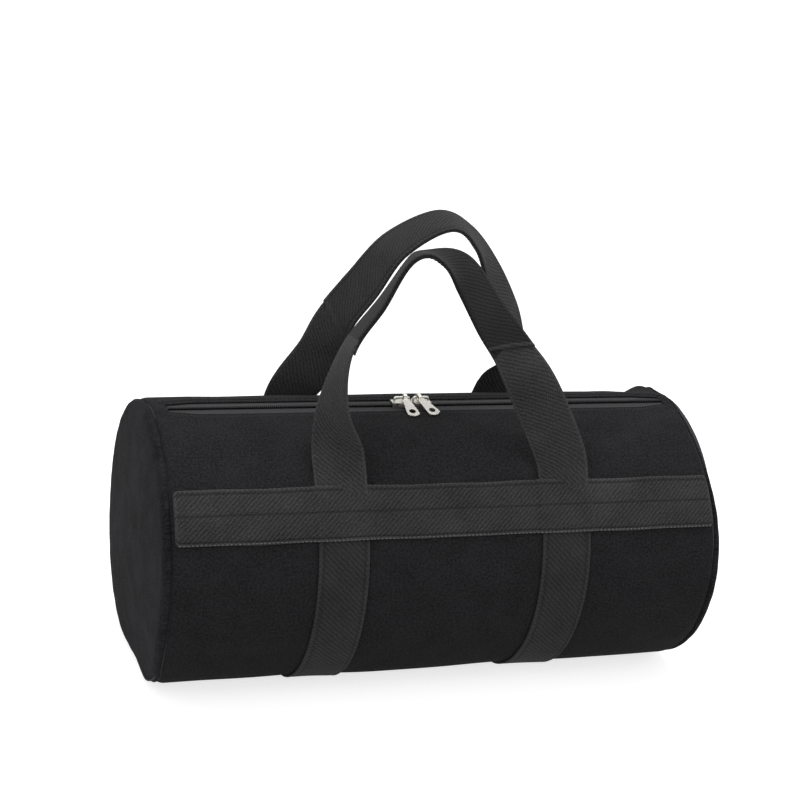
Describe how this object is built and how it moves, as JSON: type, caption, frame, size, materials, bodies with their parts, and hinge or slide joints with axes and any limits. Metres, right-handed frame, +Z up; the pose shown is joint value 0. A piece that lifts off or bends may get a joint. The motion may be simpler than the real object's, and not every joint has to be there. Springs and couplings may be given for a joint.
{
  "type": "tool bag",
  "caption": "Barrel-shaped canvas tool bag with puffed ends, webbing girth straps and side bands, two upright webbing handles and a top zip with two sliders.",
  "frame": {"origin": "on the floor, under the middle of the bag's box", "axes": "+X along the barrel, +Y from the front to the rear, +Z up; the pull tabs hang over the front, -Y"},
  "size_m": [0.47, 0.2286, 0.3677],
  "materials": {
    "canvas": "coarse plain-weave cotton canvas, matt",
    "end_canvas": "coarse plain-weave cotton canvas, matt",
    "binding_tape": "diagonal twill tape, matt",
    "band_webbing": "ribbed twill webbing, matt",
    "strap_webbing": "ribbed twill webbing, matt",
    "handle_webbing": "ribbed twill webbing, matt",
    "zip_tape": "fine woven tape, matt",
    "coil": "nylon, slight sheen",
    "slider_metal": "nickel plate, lightly worn",
    "pull_metal": "nickel plate, lightly worn"
  },
  "bodies": {
    "bag": {"barrel_panel": "canvas", "left_end_panel": "end_canvas", "right_end_panel": "end_canvas", "left_end_binding": "binding_tape", "right_end_binding": "binding_tape", "front_band": "band_webbing", "rear_band": "band_webbing", "left_girth_strap": "strap_webbing", "right_girth_strap": "strap_webbing", "front_zip_tape": "zip_tape", "rear_zip_tape": "zip_tape", "front_zip_coil": "coil", "rear_zip_coil": "coil"},
    "left_slider": {"left_slider": "slider_metal"},
    "right_slider": {"right_slider": "slider_metal"},
    "left_pull": {"left_pull_tab": "pull_metal"},
    "right_pull": {"right_pull_tab": "pull_metal"},
    "front_handle": {"front_handle_left": "handle_webbing", "front_handle_right": "handle_webbing"},
    "rear_handle": {"rear_handle_left": "handle_webbing", "rear_handle_right": "handle_webbing"}
  },
  "joints": [
    {"name": "left_slider_slide", "type": "slide", "parent": "bag", "child": "left_slider", "axis": [1, 0, 0], "range_m": [-0.18, 0], "deforming": ["front_zip_coil"]},
    {"name": "right_slider_slide", "type": "slide", "parent": "bag", "child": "right_slider", "axis": [1, 0, 0], "range_m": [0, 0.204], "deforming": ["rear_zip_coil"]},
    {"name": "left_pull_hinge", "type": "hinge", "parent": "left_slider", "child": "left_pull", "pos_m": [-0.01784, 0, 0.22477], "axis": [-1, 0, 0], "range_deg": [0, 212]},
    {"name": "right_pull_hinge", "type": "hinge", "parent": "right_slider", "child": "right_pull", "pos_m": [-0.00616, 0, 0.22477], "axis": [-1, 0, 0], "range_deg": [0, 212]},
    {"name": "front_handle_hinge", "type": "hinge", "parent": "bag", "child": "front_handle", "pos_m": [0, -0.08347, 0.18964], "axis": [1, 0, 0], "range_deg": [-11, 115]},
    {"name": "rear_handle_hinge", "type": "hinge", "parent": "bag", "child": "rear_handle", "pos_m": [0, 0.08347, 0.18964], "axis": [-1, 0, 0], "range_deg": [-11, 115]}
  ]
}
